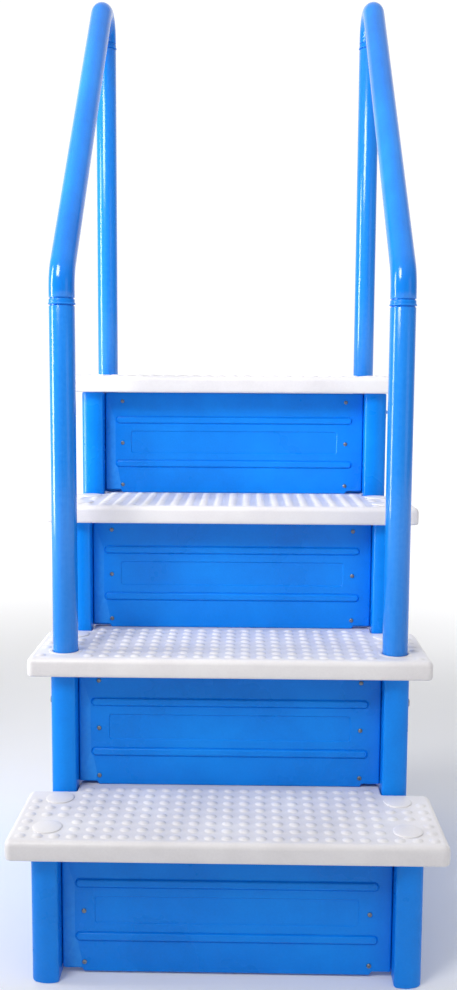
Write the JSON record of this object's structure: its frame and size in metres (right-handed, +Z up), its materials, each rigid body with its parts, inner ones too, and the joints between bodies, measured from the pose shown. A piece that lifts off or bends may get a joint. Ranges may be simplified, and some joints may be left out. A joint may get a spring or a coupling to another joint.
{
  "type": "pool ladder",
  "caption": "Rigid in-pool step unit with wide white treads, closed blue sides and risers, and looped hand rails that bolt to the deck.",
  "frame": {"origin": "centre of the whole unit's footprint, on the pool floor it stands on", "axes": "+Z up, +Y from the lowest tread's front towards the deck, +X to the right of somebody who faces the steps"},
  "size_m": [0.762, 0.967, 1.929],
  "materials": {
    "white_moulding": "satin gloss",
    "blue_moulding": "gloss",
    "blue_tube": "gloss",
    "blue_collar": "gloss",
    "stainless_fastener": "brushed"
  },
  "bodies": {
    "root": {"deck_flange_left": "blue_moulding", "deck_flange_right": "blue_moulding", "flange_bolts": "stainless_fastener", "flange_nuts": "stainless_fastener", "front_collar_left": "blue_collar", "front_collar_right": "blue_collar", "front_leg_left": "blue_tube", "front_leg_right": "blue_tube", "leg_spigot_left": "blue_collar", "leg_spigot_right": "blue_collar", "rail_bolts": "stainless_fastener", "rear_collar_left": "blue_collar", "rear_collar_right": "blue_collar", "rear_leg_left": "blue_tube", "rear_leg_right": "blue_tube", "riser_1": "blue_moulding", "riser_2": "blue_moulding", "riser_3": "blue_moulding", "riser_4": "blue_moulding", "riser_screws": "stainless_fastener", "side_panel_left": "blue_moulding", "side_panel_right": "blue_moulding", "tread_1": "white_moulding", "tread_2": "white_moulding", "tread_3": "white_moulding", "tread_4": "white_moulding", "tread_plug_1_front_left": "white_moulding", "tread_plug_1_front_right": "white_moulding", "tread_plug_1_rear_left": "white_moulding", "tread_plug_1_rear_right": "white_moulding", "tread_plug_2_rear_left": "white_moulding", "tread_plug_2_rear_right": "white_moulding", "tread_plug_3_front_left": "white_moulding", "tread_plug_3_front_right": "white_moulding", "tread_plug_3_rear_left": "white_moulding", "tread_plug_3_rear_right": "white_moulding", "tread_plug_4_front_left": "white_moulding", "tread_plug_4_front_right": "white_moulding", "tread_plug_4_rear_left": "white_moulding", "tread_plug_4_rear_right": "white_moulding", "upper_rail_left": "blue_tube", "upper_rail_right": "blue_tube"}
  },
  "joints": []
}
